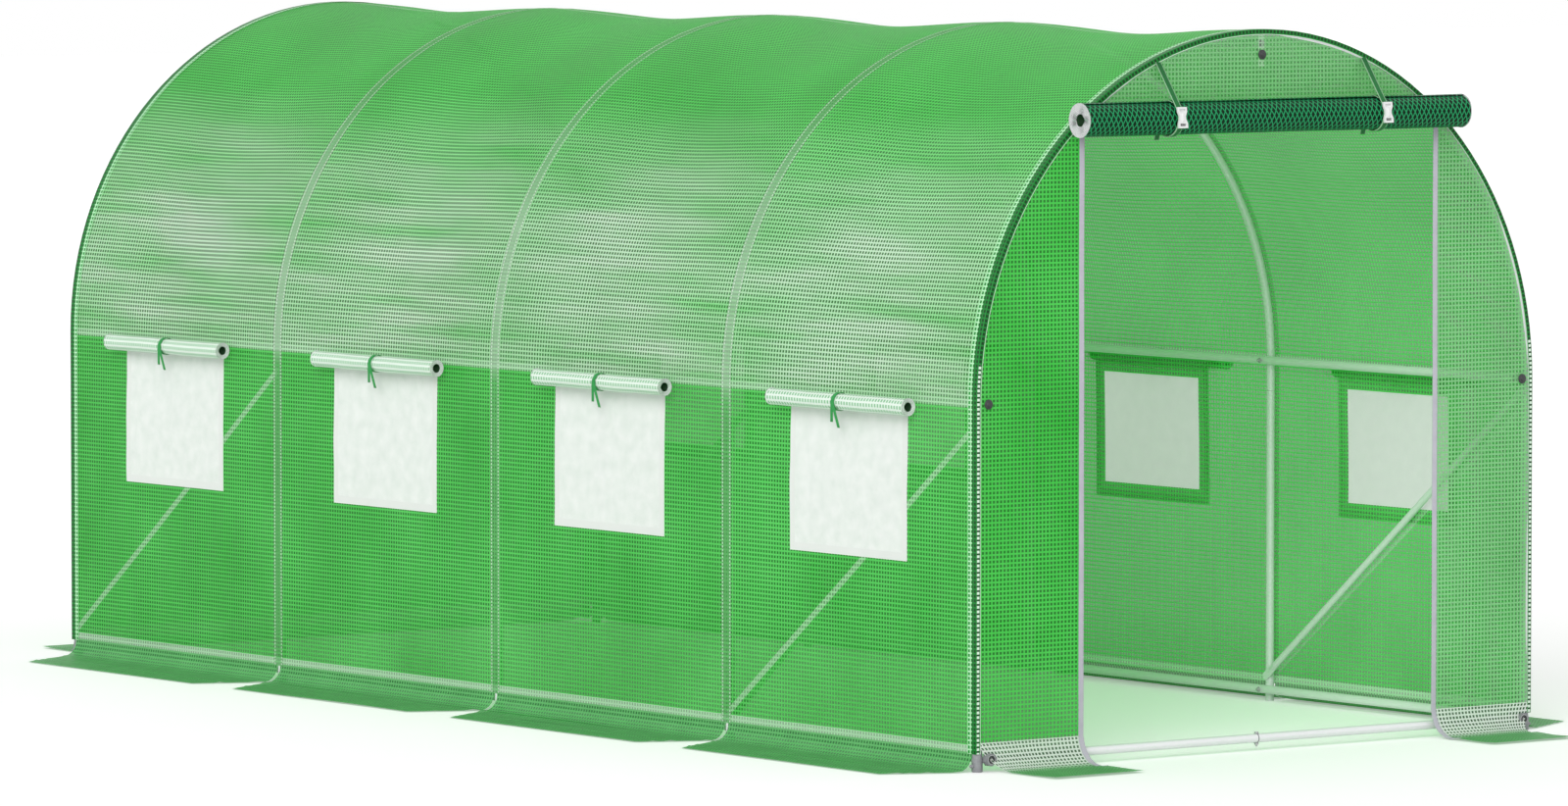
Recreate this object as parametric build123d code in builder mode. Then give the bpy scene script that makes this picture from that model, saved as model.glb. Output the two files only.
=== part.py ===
"""Polytunnel greenhouse: five tubular hoops, straight rails and braces, and a sheeted cover.

The frame is galvanised tube. Each hoop is a bow that plugs onto two straight legs. Five lines of
rail run inside the hoops, each of four tubes that plug into each other at swaged ends, and braces
stiffen the end bays. The cover is sewn sheet with skirts that lie on the ground. Each window has a
mesh screen under a rolled-up flap, and the front door is rolled up over its doorway and held by
two buckled straps.

+Z is up and +Y runs from the doorway to the back. The origin is on the ground, under the middle of
the tunnel. All sizes are in millimetres.
"""
import os
from math import acos, atan2, cos, hypot, sin

from build123d import *

# Overall sizes
TUNNEL_LENGTH = 4500.0  # over the outer faces of the end hoops
TUNNEL_WIDTH = 2000.0  # over the outer faces of the legs
LEG_HEIGHT = 1000.0  # from the ground to where the hoop starts to curve
BAYS = 4

# Tube, drawn with flats so that its long bends stay light; the diameter is over the flats
TUBE_SIDES = 12
TUBE_DIAMETER = 25.0
TUBE_WALL = 1.0
SWAGE_LENGTH = 50.0  # how far a reduced end plugs into its neighbour
SWAGE_CLEARANCE = 0.3
SEAT_GAP = 0.3  # between two pieces that rest on each other
BOW_TAIL = 90.0  # straight ends of a bow, which the legs plug into

# Rails
BASE_RAIL_HEIGHT = 35.0
BASE_RAIL_OVERHANG = 20.0  # past the end hoops, where the open tube end shows
RAIL_JOINT_SETBACK = 45.0  # behind the hoop that the rail crosses

# Braces
BRACE_DIAMETER = 20.0
BRACE_TAB_THICKNESS = 4.0
BRACE_TAB_WIDTH = 24.0
BRACE_TAB_LENGTH = 34.0
BRACE_NECK_LENGTH = 40.0
BRACE_END_CLEARANCE = 26.0  # from the rail beside it to the middle of the tab

# Corner brackets
BRACKET_PLATE_THICKNESS = 3.0
BRACKET_PLATE_LENGTH = 40.0
BRACKET_PLATE_HEIGHT = 40.0
BRACKET_CORNER_CUT = 6.0
BRACKET_SPIGOT_LENGTH = 60.0
BRACKET_SLEEVE_WALL = 3.7  # of the ring round the overhanging end of the base rail

# Cover
SHEET = 1.5
SKIRT_TOP = 120.0  # where the walls end and the skirts start
SIDE_SKIRT_CURVE = 45.0
END_SKIRT_CURVE = 80.0
SIDE_SKIRT_WIDTH = 240.0  # from the wall to the outer edge
END_SKIRT_WIDTH = 270.0
SKIRT_END_CUT = 100.0  # how far a slanted end of a flap is cut back at its outer edge
SKIRT_CORNER_GAP = 6.0  # from the corner fittings to the end flaps
SKIRT_HOOP_GAP = 8.0  # half the slit between two flaps

# Doorway and rolled door
DOOR_SHARE = 0.63  # of the tunnel's width
DOOR_RISE = 0.74  # top of the doorway above the spring line, as a share of half the width
DOOR_TAPE_WIDTH = 22.0
DOOR_ROLL_DIAMETER = 96.0
DOOR_ROLL_BORE = 38.0
DOOR_ROLL_OVERHANG = 55.0  # past each side of the doorway
DOOR_ROLL_RISE = 25.0  # from the top of the doorway to the middle of the roll
STRAP_SHARE = 0.37  # distance between the straps, as a share of the tunnel's width
STRAP_WIDTH = 20.0
STRAP_TOP_MARGIN = 16.0  # below the edge of the end sheet

# Buckles, narrower at the middle and with a slot at each end
BUCKLE_WIDTH = 32.0
BUCKLE_WAIST = 25.0
BUCKLE_HEIGHT = 58.0
BUCKLE_THICKNESS = 8.0
BUCKLE_BAR = 4.0  # height of the bars that the strap goes round
BUCKLE_SLOT_WIDTH = 22.0
BUCKLE_SLOT_HEIGHT = 5.0

# Windows
WINDOW_WIDTH = 440.0
WINDOW_BOTTOM = 600.0
WINDOW_TOP = 930.0
SCREEN_OVERLAP = 44.0  # past the cut edge of the window, all round
SCREEN_HEM = 22.0
SCREEN_MESH = 0.8
FLAP_ROLL_DIAMETER = 50.0
FLAP_ROLL_BORE = 26.0
FLAP_ROLL_LENGTH = 615.0
FLAP_ROLL_HEIGHT = 982.0
TIE_WIDTH = 22.0
TIE_TAIL = 60.0  # below the middle of the roll

# What follows from those
TUBE_RADIUS = TUBE_DIAMETER / 2
FLAT_TURN = 180 / TUBE_SIDES  # turns a section so that flats, not corners, face its neighbours
BORE_RADIUS = TUBE_RADIUS - TUBE_WALL
PLUG_RADIUS = BORE_RADIUS - SWAGE_CLEARANCE
SOCKET_DEPTH = SWAGE_LENGTH + 2
HALF_WIDTH = TUNNEL_WIDTH / 2
HALF_LENGTH = TUNNEL_LENGTH / 2
BOW_RADIUS = HALF_WIDTH - TUBE_RADIUS
END_HOOP_Y = HALF_LENGTH - TUBE_RADIUS
BAY_PITCH = 2 * END_HOOP_Y / BAYS
HOOP_Y = [-END_HOOP_Y + i * BAY_PITCH for i in range(BAYS + 1)]
RAIL_INSET = TUBE_DIAMETER + SEAT_GAP  # from the middle of a hoop tube to the middle of a rail
RAIL_X = BOW_RADIUS - RAIL_INSET
RIDGE_HEIGHT = LEG_HEIGHT + BOW_RADIUS - RAIL_INSET
COVER_IN = HALF_WIDTH + SEAT_GAP
COVER_OUT = COVER_IN + SHEET
END_IN = HALF_LENGTH + SEAT_GAP
END_OUT = END_IN + SHEET
LAYER = SHEET + SEAT_GAP  # one more sheet laid on another
DOOR_WIDTH = DOOR_SHARE * TUNNEL_WIDTH
DOOR_TOP = LEG_HEIGHT + DOOR_RISE * HALF_WIDTH
DOOR_ROLL_LENGTH = DOOR_WIDTH + 2 * DOOR_ROLL_OVERHANG
DOOR_ROLL_HEIGHT = DOOR_TOP + DOOR_ROLL_RISE
SIDES = {"left": -1, "right": 1}


def save(part, name):
    """Writes one finished piece to its own file."""
    part.label = name
    export_step(part, f"parts/{name}.step")


def tube_section(plane, radius):
    """The many-sided outline of a tube or bore, with flats square to the plane's own axes."""
    with BuildSketch(plane) as section:
        RegularPolygon(radius, TUBE_SIDES, major_radius=False, rotation=FLAT_TURN)
    return section.sketch


def bar(start, direction, radius, length, mode=Mode.ADD):
    """A straight bar from a point, for use inside a part block."""
    section = tube_section(Plane(origin=start, z_dir=direction), radius)
    extrude(section, amount=length, mode=mode)


os.makedirs("parts", exist_ok=True)


# Hoops
def make_legs(name, y):
    """Two straight legs, each with a reduced upper end that plugs into the bow."""
    shoulder = LEG_HEIGHT - BOW_TAIL - SEAT_GAP
    with BuildPart() as legs:
        for side in SIDES.values():
            x = side * BOW_RADIUS
            bar((x, y, 0), (0, 0, 1), TUBE_RADIUS, shoulder)
            bar((x, y, shoulder), (0, 0, 1), PLUG_RADIUS, SWAGE_LENGTH)
    save(legs.part, name)


def make_bow(name, y):
    """A half circle of tube with straight ends, bored to take the legs."""
    with BuildPart() as bow:
        start = tube_section(Plane(origin=(BOW_RADIUS, y, LEG_HEIGHT)), TUBE_RADIUS)
        revolve(start, axis=Axis((0, y, LEG_HEIGHT), (0, -1, 0)), revolution_arc=180)
        for side in SIDES.values():
            foot = (side * BOW_RADIUS, y, LEG_HEIGHT - BOW_TAIL)
            bar(foot, (0, 0, 1), TUBE_RADIUS, BOW_TAIL)
            bar(foot, (0, 0, 1), BORE_RADIUS, SOCKET_DEPTH, mode=Mode.SUBTRACT)
    save(bow.part, name)


for number, y in enumerate(HOOP_Y, start=1):
    make_legs(f"hoop_{number}_legs", y)
    make_bow(f"hoop_{number}_bow", y)


# Rails
def make_rail(name, x, z, overhang):
    """A line of tubes along the tunnel, one to a bay, each plugged into the one behind it."""
    ends = [-HALF_LENGTH - overhang]
    ends += [y + RAIL_JOINT_SETBACK for y in HOOP_Y[1:-1]]
    ends += [HALF_LENGTH + overhang]
    with BuildPart() as rail:
        for front, back in zip(ends, ends[1:]):
            last = back == ends[-1]
            shoulder = back if last else back - SEAT_GAP
            bar((x, front, z), (0, 1, 0), TUBE_RADIUS, shoulder - front)
            bar((x, front, z), (0, 1, 0), BORE_RADIUS, SOCKET_DEPTH, mode=Mode.SUBTRACT)
            if last:
                bar((x, back, z), (0, -1, 0), BORE_RADIUS, SOCKET_DEPTH, mode=Mode.SUBTRACT)
            else:
                bar((x, shoulder, z), (0, 1, 0), PLUG_RADIUS, SWAGE_LENGTH)
    save(rail.part, name)


make_rail("ridge_rail", 0, RIDGE_HEIGHT, 0)
for word, side in SIDES.items():
    make_rail(f"{word}_eaves_rail", side * RAIL_X, LEG_HEIGHT, 0)
    make_rail(f"{word}_base_rail", side * RAIL_X, BASE_RAIL_HEIGHT, BASE_RAIL_OVERHANG)

# Corner brackets and the rails across the ends
PLATE_FACE_X = RAIL_X - TUBE_RADIUS - SEAT_GAP
END_RAIL_X = PLATE_FACE_X - BRACKET_PLATE_THICKNESS - SEAT_GAP
SLEEVE_RADIUS = TUBE_RADIUS + SEAT_GAP + BRACKET_SLEEVE_WALL

for word, y in {"front": -END_HOOP_Y, "rear": END_HOOP_Y}.items():
    with BuildPart() as brackets:
        for side in SIDES.values():
            inward = (-side, 0, 0)
            middle = (side * PLATE_FACE_X, y, BASE_RAIL_HEIGHT)
            with BuildSketch(Plane(origin=middle, x_dir=(0, 1, 0), z_dir=inward)):
                plate = Rectangle(BRACKET_PLATE_LENGTH, BRACKET_PLATE_HEIGHT)
                chamfer(plate.vertices(), BRACKET_CORNER_CUT)
            extrude(amount=BRACKET_PLATE_THICKNESS)
            bar(middle, inward, PLUG_RADIUS, BRACKET_PLATE_THICKNESS + BRACKET_SPIGOT_LENGTH)
            out = y / END_HOOP_Y
            sleeve = (side * RAIL_X, y + out * (TUBE_RADIUS + SEAT_GAP), BASE_RAIL_HEIGHT)
            depth = BASE_RAIL_OVERHANG - SEAT_GAP
            bar(sleeve, (0, out, 0), SLEEVE_RADIUS, depth)
            bar(sleeve, (0, out, 0), TUBE_RADIUS + SEAT_GAP, depth, mode=Mode.SUBTRACT)
    save(brackets.part, f"{word}_corner_brackets")

    with BuildPart() as end_rail:
        left = (-END_RAIL_X, y, BASE_RAIL_HEIGHT)
        right = (END_RAIL_X, y, BASE_RAIL_HEIGHT)
        middle = (0, y, BASE_RAIL_HEIGHT)
        spigot_depth = BRACKET_SPIGOT_LENGTH + 2
        bar(left, (1, 0, 0), TUBE_RADIUS, END_RAIL_X - SEAT_GAP)
        bar(middle, (1, 0, 0), TUBE_RADIUS, END_RAIL_X)
        bar(left, (1, 0, 0), BORE_RADIUS, spigot_depth, mode=Mode.SUBTRACT)
        bar(right, (-1, 0, 0), BORE_RADIUS, spigot_depth, mode=Mode.SUBTRACT)
        bar(middle, (1, 0, 0), BORE_RADIUS, SOCKET_DEPTH, mode=Mode.SUBTRACT)
        bar((-SEAT_GAP, y, BASE_RAIL_HEIGHT), (1, 0, 0), PLUG_RADIUS, SWAGE_LENGTH)
    save(end_rail.part, f"{word}_base_rail")


# Braces
def add_brace_end(middle, direction):
    """A flattened tab with a rounded end, and the neck that widens from it to the tube."""
    step = Vector(*direction)
    half = BRACE_TAB_LENGTH / 2
    with BuildSketch(Plane(origin=middle, x_dir=direction, z_dir=(1, 0, 0))) as tab:
        Circle(BRACE_TAB_WIDTH / 2)
        with Locations((half / 2, 0)):
            Rectangle(half, BRACE_TAB_WIDTH)
    extrude(tab.sketch, amount=BRACE_TAB_THICKNESS / 2, both=True)
    flat_end = Vector(*middle) + step * half
    tube_start = flat_end + step * BRACE_NECK_LENGTH
    with BuildSketch(Plane(origin=flat_end, x_dir=(1, 0, 0), z_dir=direction)) as flat:
        Rectangle(BRACE_TAB_THICKNESS, BRACE_TAB_WIDTH)
    tube_plane = Plane(origin=tube_start, x_dir=(1, 0, 0), z_dir=direction)
    loft([flat.sketch, tube_section(tube_plane, BRACE_DIAMETER / 2)], ruled=True)
    return tube_start


def make_braces(name, side):
    """Two braces on one side, each from the foot of a hoop up to the eaves at the one in front."""
    x = side * (BOW_RADIUS - TUBE_RADIUS - SEAT_GAP - BRACE_TAB_THICKNESS / 2)
    low = BASE_RAIL_HEIGHT + TUBE_RADIUS + BRACE_END_CLEARANCE
    high = LEG_HEIGHT - TUBE_RADIUS - BRACE_END_CLEARANCE
    run = hypot(BAY_PITCH, high - low)
    up = (0, -BAY_PITCH / run, (high - low) / run)
    down = (0, BAY_PITCH / run, -(high - low) / run)
    with BuildPart() as braces:
        for front_y, back_y in (HOOP_Y[:2], HOOP_Y[-2:]):
            add_brace_end((x, front_y, high), down)
            tube_start = add_brace_end((x, back_y, low), up)
            tube_plane = Plane(origin=tube_start, x_dir=(1, 0, 0), z_dir=up)
            tube_length = run - BRACE_TAB_LENGTH - 2 * BRACE_NECK_LENGTH
            extrude(tube_section(tube_plane, BRACE_DIAMETER / 2), amount=tube_length)
    save(braces.part, name)


for word, side in SIDES.items():
    make_braces(f"{word}_braces", side)


# Walls, screens and window flaps
WALL_HEIGHT = LEG_HEIGHT - SKIRT_TOP
WALL_MIDDLE = (LEG_HEIGHT + SKIRT_TOP) / 2
WINDOW_HEIGHT = WINDOW_TOP - WINDOW_BOTTOM
WINDOW_MIDDLE = (WINDOW_TOP + WINDOW_BOTTOM) / 2
SCREEN_WIDTH = WINDOW_WIDTH + 2 * SCREEN_OVERLAP
SCREEN_HEIGHT = WINDOW_HEIGHT + 2 * SCREEN_OVERLAP
FLAP_ROLL_X = COVER_OUT + LAYER + LAYER + SEAT_GAP + FLAP_ROLL_DIAMETER / 2
WINDOW_Y = [y + BAY_PITCH / 2 for y in HOOP_Y[:-1]]


def wall_plane(side, x, z):
    """A plane that faces out from a side wall, with its own x axis along the tunnel."""
    return Plane(origin=(side * x, 0, z), x_dir=(0, side, 0), z_dir=(side, 0, 0))


def make_wall(name, side):
    """The sheet of one side, with its windows cut out."""
    with BuildPart() as wall:
        with BuildSketch(wall_plane(side, COVER_IN, WALL_MIDDLE)):
            Rectangle(2 * END_OUT, WALL_HEIGHT)
        extrude(amount=SHEET)
        with BuildSketch(wall_plane(side, COVER_IN, WINDOW_MIDDLE)):
            with GridLocations(BAY_PITCH, 0, BAYS, 1):
                Rectangle(WINDOW_WIDTH, WINDOW_HEIGHT)
        extrude(amount=SHEET, mode=Mode.SUBTRACT)
    save(wall.part, name)


def make_screens(name, side):
    """One mesh screen to a window, with a thicker hem sewn to the wall."""
    plane = wall_plane(side, COVER_OUT + SEAT_GAP, WINDOW_MIDDLE)
    with BuildPart() as screens:
        with BuildSketch(plane):
            with GridLocations(BAY_PITCH, 0, BAYS, 1):
                Rectangle(SCREEN_WIDTH, SCREEN_HEIGHT)
        extrude(amount=SCREEN_MESH)
        with BuildSketch(plane):
            with GridLocations(BAY_PITCH, 0, BAYS, 1):
                Rectangle(SCREEN_WIDTH, SCREEN_HEIGHT)
                inner = (SCREEN_WIDTH - 2 * SCREEN_HEM, SCREEN_HEIGHT - 2 * SCREEN_HEM)
                Rectangle(*inner, mode=Mode.SUBTRACT)
        extrude(amount=SHEET)
    save(screens.part, name)


def make_flap_rolls(name, side):
    """One rolled-up flap over each window, hollow in the middle."""
    with BuildPart() as rolls:
        for y in WINDOW_Y:
            start = (side * FLAP_ROLL_X, y - FLAP_ROLL_LENGTH / 2, FLAP_ROLL_HEIGHT)
            bar(start, (0, 1, 0), FLAP_ROLL_DIAMETER / 2, FLAP_ROLL_LENGTH)
            bar(start, (0, 1, 0), FLAP_ROLL_BORE / 2, FLAP_ROLL_LENGTH, mode=Mode.SUBTRACT)
    save(rolls.part, name)


def make_ties(name, side):
    """One ribbon to a window, round the middle of the roll with a tail that hangs below it."""
    ring = FLAP_ROLL_DIAMETER / 2 + SEAT_GAP
    tail_x = side * (FLAP_ROLL_X - ring - SHEET / 2)
    with BuildPart() as ties:
        for y in WINDOW_Y:
            with BuildSketch(Plane.XZ.offset(-y)) as loop:
                with Locations((side * FLAP_ROLL_X, FLAP_ROLL_HEIGHT)):
                    RegularPolygon(ring + SHEET, TUBE_SIDES, False, rotation=FLAT_TURN)
                with Locations((tail_x, FLAP_ROLL_HEIGHT - TIE_TAIL / 2)):
                    Rectangle(SHEET, TIE_TAIL)
                with Locations((side * FLAP_ROLL_X, FLAP_ROLL_HEIGHT)):
                    RegularPolygon(ring, TUBE_SIDES, False, rotation=FLAT_TURN, mode=Mode.SUBTRACT)
            extrude(loop.sketch, amount=TIE_WIDTH / 2, both=True)
    save(ties.part, name)


for word, side in SIDES.items():
    make_wall(f"{word}_wall", side)
    make_screens(f"{word}_window_screens", side)
    make_flap_rolls(f"{word}_window_flaps", side)
    make_ties(f"{word}_flap_ties", side)

# Roof
with BuildPart() as roof:
    with BuildSketch(Plane.XZ):
        with Locations((0, LEG_HEIGHT)):
            Circle(COVER_OUT)
            Circle(COVER_IN, mode=Mode.SUBTRACT)
        with Locations((0, LEG_HEIGHT + COVER_OUT)):
            Rectangle(2 * COVER_OUT, 2 * COVER_OUT, mode=Mode.INTERSECT)
    extrude(amount=END_OUT, both=True)
save(roof.part, "roof_sheet")


# End sheets
def end_sheet(y_in, out, x_range, z_range):
    """The part of an end sheet that lies within a range of x and of z, under the curve."""
    low_x, high_x = x_range
    low_z, high_z = z_range
    plane = Plane(origin=(0, y_in, 0), x_dir=(-out, 0, 0), z_dir=(0, out, 0))
    with BuildPart() as sheet:
        with BuildSketch(plane):
            with Locations((0, LEG_HEIGHT)):
                Circle(HALF_WIDTH)
            with Locations((0, LEG_HEIGHT / 2)):
                Rectangle(TUNNEL_WIDTH, LEG_HEIGHT)
            with Locations((-out * (low_x + high_x) / 2, (low_z + high_z) / 2)):
                Rectangle(high_x - low_x, high_z - low_z, mode=Mode.INTERSECT)
        extrude(amount=SHEET)
    return sheet.part


DOOR_HALF = DOOR_WIDTH / 2
CROWN = LEG_HEIGHT + HALF_WIDTH
jamb_z = (SKIRT_TOP, DOOR_TOP)
full_x = (-HALF_WIDTH, HALF_WIDTH)
save(end_sheet(-END_IN, -1, (-HALF_WIDTH, -DOOR_HALF), jamb_z), "front_left_sheet")
save(end_sheet(-END_IN, -1, (DOOR_HALF, HALF_WIDTH), jamb_z), "front_right_sheet")
save(end_sheet(-END_IN, -1, full_x, (DOOR_TOP, CROWN)), "front_gable_sheet")
save(end_sheet(END_IN, 1, full_x, (SKIRT_TOP, CROWN)), "rear_sheet")

with BuildPart() as door_tapes:
    tape_height = DOOR_TOP - SKIRT_TOP
    tape_origin = (0, -END_OUT - SEAT_GAP, (DOOR_TOP + SKIRT_TOP) / 2)
    with BuildSketch(Plane(origin=tape_origin, x_dir=(1, 0, 0), z_dir=(0, -1, 0))):
        with GridLocations(DOOR_WIDTH + DOOR_TAPE_WIDTH, 0, 2, 1):
            Rectangle(DOOR_TAPE_WIDTH, tape_height)
    extrude(amount=SHEET)
save(door_tapes.part, "door_tapes")


# Skirts
def make_skirt(name, outward, wall_at, shape, spans):
    """Flaps that curve out from the foot of a wall and lie on the ground."""
    curve, width, end_cut = shape
    along = Vector(0, 0, 1).cross(Vector(*outward))
    flat_start = wall_at + curve
    edge = wall_at + width
    bend = (flat_start, curve)
    with BuildPart() as skirt:
        with BuildSketch(Plane(origin=(0, 0, 0), x_dir=outward, z_dir=along * -1)):
            with BuildLine():
                Line((wall_at, SKIRT_TOP), (wall_at, curve))
                CenterArc(bend, curve, 180, 90)
                Line((flat_start, 0), (edge, 0))
                Line((edge, 0), (edge, SHEET))
                Line((edge, SHEET), (flat_start, SHEET))
                CenterArc(bend, curve - SHEET, 180, 90)
                Line((wall_at + SHEET, curve), (wall_at + SHEET, SKIRT_TOP))
                Line((wall_at + SHEET, SKIRT_TOP), (wall_at, SKIRT_TOP))
            make_face()
        extrude(amount=2 * END_OUT, both=True)
        with BuildSketch(Plane(origin=(0, 0, 0), x_dir=outward, z_dir=(0, 0, 1))):
            for start, end in spans:
                cut = min(end_cut, (end - start) / 3)
                with BuildLine():
                    Polyline(
                        (wall_at, start),
                        (flat_start, start),
                        (edge, start + cut),
                        (edge, end - cut),
                        (flat_start, end),
                        (wall_at, end),
                        close=True,
                    )
                make_face()
        extrude(amount=SKIRT_TOP, mode=Mode.INTERSECT)
    save(skirt.part, name)


side_shape = (SIDE_SKIRT_CURVE, SIDE_SKIRT_WIDTH, SKIRT_END_CUT)
end_shape = (END_SKIRT_CURVE, END_SKIRT_WIDTH, 0)
side_spans = [(a + SKIRT_HOOP_GAP, b - SKIRT_HOOP_GAP) for a, b in zip(HOOP_Y, HOOP_Y[1:])]
SKIRT_CORNER_X = RAIL_X - SLEEVE_RADIUS - SKIRT_CORNER_GAP
make_skirt("left_skirt", (-1, 0, 0), COVER_IN, side_shape, side_spans)
make_skirt("right_skirt", (1, 0, 0), COVER_IN, side_shape, side_spans)
front_spans = [(-SKIRT_CORNER_X, -DOOR_HALF), (DOOR_HALF, SKIRT_CORNER_X)]
make_skirt("front_skirt", (0, -1, 0), END_IN, end_shape, front_spans)
make_skirt("rear_skirt", (0, 1, 0), END_IN, end_shape, [(-SKIRT_CORNER_X, SKIRT_CORNER_X)])

# Rolled door, its straps and their buckles
STRAP_RING = DOOR_ROLL_DIAMETER / 2 + SEAT_GAP
DOOR_ROLL_Y = -(END_OUT + SEAT_GAP + SHEET + STRAP_RING)
STRAP_X = STRAP_SHARE * HALF_WIDTH

with BuildPart() as door_roll:
    roll_middle = (0, DOOR_ROLL_Y, DOOR_ROLL_HEIGHT)
    with BuildSketch(Plane(origin=roll_middle, x_dir=(0, 1, 0), z_dir=(1, 0, 0))):
        Circle(DOOR_ROLL_DIAMETER / 2)
        Circle(DOOR_ROLL_BORE / 2, mode=Mode.SUBTRACT)
    extrude(amount=DOOR_ROLL_LENGTH / 2, both=True)
save(door_roll.part, "door_roll")

with BuildPart() as straps:
    rim_height = LEG_HEIGHT + (HALF_WIDTH**2 - STRAP_X**2) ** 0.5 - STRAP_TOP_MARGIN
    roll = Vector(DOOR_ROLL_Y, DOOR_ROLL_HEIGHT)
    rim = Vector(-END_OUT - SEAT_GAP, rim_height)
    run = rim - roll
    turn = atan2(run.Y, run.X) + acos(STRAP_RING / run.length)
    away = Vector(cos(turn), sin(turn))
    touch = roll + away * STRAP_RING
    for side in SIDES.values():
        with BuildSketch(Plane.YZ.offset(side * STRAP_X)):
            with Locations(roll):
                Circle(STRAP_RING + SHEET)
                Circle(STRAP_RING, mode=Mode.SUBTRACT)
            with BuildLine():
                Polyline(touch, rim, rim + away * SHEET, touch + away * SHEET, close=True)
            make_face()
        extrude(amount=STRAP_WIDTH / 2, both=True)
save(straps.part, "door_straps")

with BuildPart() as buckles:
    buckle_y = DOOR_ROLL_Y - STRAP_RING - SHEET - SEAT_GAP
    half_height = BUCKLE_HEIGHT / 2
    slot_height = half_height - BUCKLE_BAR - BUCKLE_SLOT_HEIGHT / 2
    for side in SIDES.values():
        middle = (side * STRAP_X, buckle_y, DOOR_ROLL_HEIGHT)
        with BuildSketch(Plane(origin=middle, x_dir=(1, 0, 0), z_dir=(0, -1, 0))):
            with BuildLine():
                Polyline(
                    (-BUCKLE_WIDTH / 2, -half_height),
                    (BUCKLE_WIDTH / 2, -half_height),
                    (BUCKLE_WAIST / 2, 0),
                    (BUCKLE_WIDTH / 2, half_height),
                    (-BUCKLE_WIDTH / 2, half_height),
                    (-BUCKLE_WAIST / 2, 0),
                    close=True,
                )
            make_face()
            with GridLocations(0, 2 * slot_height, 1, 2):
                Rectangle(BUCKLE_SLOT_WIDTH, BUCKLE_SLOT_HEIGHT, mode=Mode.SUBTRACT)
        extrude(amount=BUCKLE_THICKNESS)
save(buckles.part, "strap_buckles")
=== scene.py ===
"""Looks for the polytunnel greenhouse: its sheeted cover, rolled door, windows, tube and fittings."""

from math import acos, atan2, ceil, cos, hypot, pi, sin, sqrt

import bpy
from mathutils import Matrix, Vector, noise


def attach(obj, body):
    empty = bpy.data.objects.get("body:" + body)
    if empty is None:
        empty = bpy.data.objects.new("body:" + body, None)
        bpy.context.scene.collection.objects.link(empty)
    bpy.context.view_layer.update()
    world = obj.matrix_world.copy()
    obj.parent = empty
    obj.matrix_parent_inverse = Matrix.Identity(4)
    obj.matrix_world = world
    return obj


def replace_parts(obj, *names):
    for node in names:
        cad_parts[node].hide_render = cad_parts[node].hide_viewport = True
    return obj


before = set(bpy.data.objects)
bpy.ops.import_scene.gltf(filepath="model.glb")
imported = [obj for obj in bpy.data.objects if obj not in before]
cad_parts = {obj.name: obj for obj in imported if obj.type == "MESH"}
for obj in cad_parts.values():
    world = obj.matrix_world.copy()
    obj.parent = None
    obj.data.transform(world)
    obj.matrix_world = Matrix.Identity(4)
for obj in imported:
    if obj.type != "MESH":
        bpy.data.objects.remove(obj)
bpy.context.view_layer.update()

# Sizes shared with the CAD, in metres, with x across the tunnel, y along it and z up
SIDES = {"left": -1, "right": 1}
ENDS = {"front": -1, "rear": 1}
HALF_LENGTH = 2.25
HALF_WIDTH = 1.0
SPRING = 1.0
TUBE = 0.0125
BOW = HALF_WIDTH - TUBE
PITCH = 1.11875
HOOPS = [PITCH * step for step in (-2, -1, 0, 1, 2)]
RAIL_X = 0.9622
RIDGE_Z = SPRING + RAIL_X
BASE_Z = 0.035
FILM_GAP = 0.0008
COVER = HALF_WIDTH + FILM_GAP
END = HALF_LENGTH + FILM_GAP
HALF_ARC = pi / 2 * COVER
DOOR_HALF = 0.63
DOOR_TOP = 1.74
ROLL_Y = -2.3021
ROLL_Z = 1.765
ROLL_RADIUS = 0.0475
STRAP_X = 0.37
WINDOWS = [y + PITCH / 2 for y in HOOPS[:-1]]
WINDOW_LOW = 0.6
WINDOW_HIGH = 0.93
WINDOW_HALF = 0.22
FLAP_X = 1.0302
FLAP_Z = 0.982
FLAP_RADIUS = 0.0245
BRACE_TOP = 0.9365
BRACE_FOOT = 0.0735

# The film's thread pitch, how far a second layer stands off it, and where the frame shows through
GRID = 0.0125
LAYER = 0.0016
BASE_SHOWS = (0.049, 0.074)
EAVES_SHOW = (0.992, 1.012)
BRACE_SHOWS = 0.009
RIDGE_SHOWS = 0.011
WALL_FROM = 0.985
WALL_TOP = 1.013
ROOF_TOP = 1.9


# Materials
class Wire:
    """A node's output that sums, products and comparisons can be written with."""

    def __init__(self, nodes, socket):
        self.nodes = nodes
        self.socket = socket

    def maths(self, operation, *values):
        """A Math node on values, of which this is one."""
        made = self.nodes.node("Math", {"operation": operation}, dict(enumerate(values)))
        return Wire(self.nodes, made.outputs[0])

    def __add__(self, other):
        return self.maths("ADD", self, other)

    __radd__ = __add__

    def __sub__(self, other):
        return self.maths("SUBTRACT", self, other)

    def __rsub__(self, other):
        return self.maths("SUBTRACT", other, self)

    def __mul__(self, other):
        return self.maths("MULTIPLY", self, other)

    __rmul__ = __mul__

    def __truediv__(self, other):
        return self.maths("DIVIDE", self, other)

    def over(self, edge):
        """1 where the value is above the edge, 0 elsewhere."""
        return self.maths("GREATER_THAN", self, edge)

    def under(self, edge):
        """1 where the value is below the edge, 0 elsewhere."""
        return self.maths("LESS_THAN", self, edge)

    def within(self, low, high):
        """1 between the two edges, 0 elsewhere."""
        return self.over(low) * self.under(high)

    def most(self, other):
        """The larger of two values."""
        return self.maths("MAXIMUM", self, other)

    def unsigned(self):
        """The value without its sign."""
        return self.maths("ABSOLUTE", self)

    def fraction(self):
        """What is left of the value over a whole number."""
        return self.maths("FRACT", self)

    def clamped(self):
        """The value held between 0 and 1."""
        return self.maths("MINIMUM", self.maths("MAXIMUM", self, 0.0), 1.0)


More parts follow.
